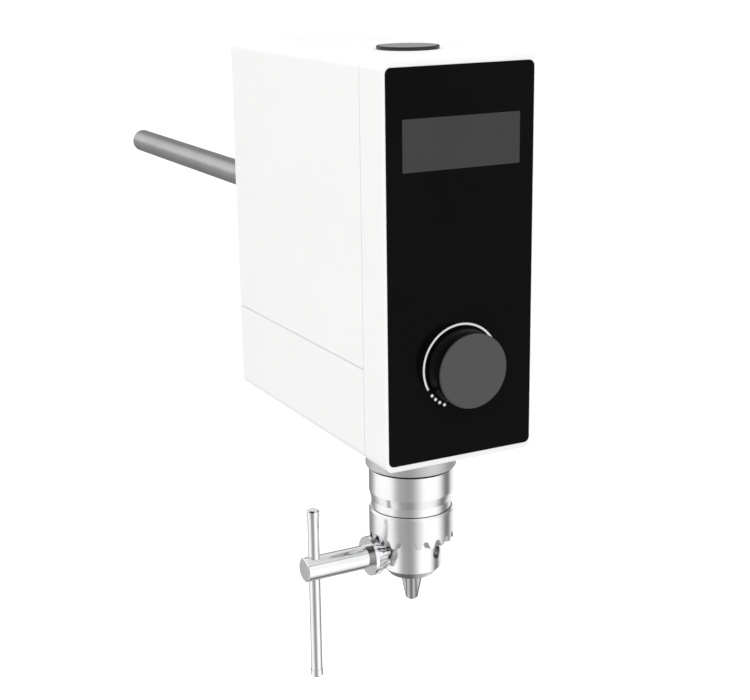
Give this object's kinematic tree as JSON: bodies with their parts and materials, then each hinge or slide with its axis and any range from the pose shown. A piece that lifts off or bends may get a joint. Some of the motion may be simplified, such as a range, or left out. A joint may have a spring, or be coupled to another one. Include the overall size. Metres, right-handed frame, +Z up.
{
  "type": "overhead stirrer",
  "caption": "Overhead laboratory stirrer with a rear support rod, a speed knob and display, and a hollow spindle ending in a keyed three-jaw chuck.",
  "frame": {"origin": "on the support rod's axis, where the rod's shoulder meets the rear face of the housing", "axes": "+X to the right seen from the front, +Y back along the support rod to its free end, +Z up"},
  "size_m": [0.1091, 0.4873, 0.3381],
  "materials": {
    "white_case": "satin white",
    "panel_black": "gloss black",
    "display_grey": "gloss dark grey",
    "knob_grey": "satin dark grey",
    "boss_aluminium": "turned satin",
    "satin_chrome": "satin",
    "bright_chrome": "polished",
    "hard_steel": "ground",
    "rod_steel": "fine brushed",
    "bearing_steel": "ground",
    "cap_dark": "satin dark",
    "cap_grey": "satin grey",
    "cast_alloy": "as cast",
    "motor_dark": "black",
    "motor_zinc": "zinc plated",
    "copper_coil": "enamelled winding",
    "board_green": "solder mask",
    "black_plastic": "fine texture",
    "black_rubber": "matt",
    "pin_brass": "bright",
    "screw_zinc": "zinc plated"
  },
  "bodies": {
    "housing": {"front_frame": "white_case", "upper_rear_cover": "white_case", "lower_rear_cover": "white_case", "front_panel": "panel_black", "display_window": "display_grey", "display_module": "black_plastic", "control_board": "board_green", "board_screws": "screw_zinc", "encoder_body": "motor_zinc", "encoder_nut": "screw_zinc", "chassis": "cast_alloy", "rear_cover_screws": "screw_zinc", "frame_screws": "screw_zinc", "spindle_housing": "boss_aluminium", "flange_screws": "screw_zinc", "motor_screws": "screw_zinc", "shaft_seal": "black_rubber", "lower_bearing_outer_ring": "bearing_steel", "upper_bearing_outer_ring": "bearing_steel", "drive_belt": "black_rubber", "motor_can": "motor_dark", "motor_end_plate": "boss_aluminium", "motor_stator": "copper_coil", "motor_bearings": "bearing_steel", "driver_board": "board_green", "capacitors": "motor_dark", "power_inlet": "black_plastic", "inlet_pins": "pin_brass", "switch_housing": "black_plastic", "support_rod": "rod_steel", "rod_lock_screw": "motor_dark"},
    "spindle": {"spindle": "hard_steel", "lower_bearing_inner_ring": "bearing_steel", "upper_bearing_inner_ring": "bearing_steel", "bearing_nut": "motor_zinc", "spindle_pulley": "boss_aluminium", "chuck_body": "satin_chrome"},
    "motor_rotor": {"motor_rotor": "hard_steel", "motor_pulley": "boss_aluminium"},
    "plunger": {"switch_plunger": "black_plastic"},
    "knob": {"encoder_shaft": "motor_zinc", "knob": "knob_grey"},
    "top_cap": {"top_cap": "cap_dark", "cap_inlay": "cap_grey"},
    "sleeve": {"chuck_sleeve": "satin_chrome", "chuck_nut": "hard_steel"},
    "jaw_1": {"jaw_1": "hard_steel"},
    "jaw_2": {"jaw_2": "hard_steel"},
    "jaw_3": {"jaw_3": "hard_steel"},
    "chuck_key": {"chuck_key": "bright_chrome"},
    "key_bar": {"key_bar": "bright_chrome"},
    "switch_rocker": {"switch_rocker": "black_plastic"}
  },
  "joints": [
    {"name": "spindle_spin", "type": "hinge", "parent": "housing", "child": "spindle", "pos_m": [0, -0.1314, 0], "axis": [0, 0, 1], "continuous": true},
    {"name": "motor_spin", "type": "hinge", "parent": "housing", "child": "motor_rotor", "pos_m": [0, -0.06541, 0], "axis": [0, 0, 1], "continuous": true},
    {"name": "knob_press", "type": "slide", "parent": "housing", "child": "plunger", "axis": [0, 1, 0], "range_m": [0, 0.0008], "stiffness_N_per_m": 3750},
    {"name": "knob_turn", "type": "hinge", "parent": "plunger", "child": "knob", "pos_m": [0, -0.19, -0.0603], "axis": [0, -1, 0], "continuous": true},
    {"name": "cap_lift", "type": "slide", "parent": "housing", "child": "top_cap", "axis": [0, 0, 1], "range_m": [0, 0.012]},
    {"name": "sleeve_turn", "type": "hinge", "parent": "spindle", "child": "sleeve", "pos_m": [0, -0.1314, -0.162], "axis": [0, 0, -1], "range_deg": [0, 3308.8]},
    {"name": "jaw_1_slide", "type": "slide", "parent": "spindle", "child": "jaw_1", "axis": [0.2334, 0, 0.9724], "range_m": [0, 0.02336]},
    {"name": "jaw_2_slide", "type": "slide", "parent": "spindle", "child": "jaw_2", "axis": [-0.1167, 0.2022, 0.9724], "range_m": [0, 0.02336]},
    {"name": "jaw_3_slide", "type": "slide", "parent": "spindle", "child": "jaw_3", "axis": [-0.1167, -0.2022, 0.9724], "range_m": [0, 0.02336]},
    {"name": "key_turn", "type": "hinge", "parent": "spindle", "child": "chuck_key", "pos_m": [-0.045, -0.1314, -0.1787], "axis": [-1, 0, 0], "range_deg": [0, 8272]},
    {"name": "bar_slide", "type": "slide", "parent": "chuck_key", "child": "key_bar", "axis": [0, 0, 1], "range_m": [-0.02286, 0.05286]},
    {"name": "power_rocker", "type": "hinge", "parent": "housing", "child": "switch_rocker", "pos_m": [0.02, -0.0012, -0.094], "axis": [1, 0, 0], "range_deg": [0, 14]}
  ],
  "couplings": [
    {"joint": "motor_spin", "follows": "spindle_spin", "ratio": 2},
    {"joint": "jaw_1_slide", "follows": "sleeve_turn", "m_per_rad": 0.00040425},
    {"joint": "jaw_2_slide", "follows": "sleeve_turn", "m_per_rad": 0.00040425},
    {"joint": "jaw_3_slide", "follows": "sleeve_turn", "m_per_rad": 0.00040425},
    {"joint": "key_turn", "follows": "sleeve_turn", "ratio": 2.5}
  ]
}
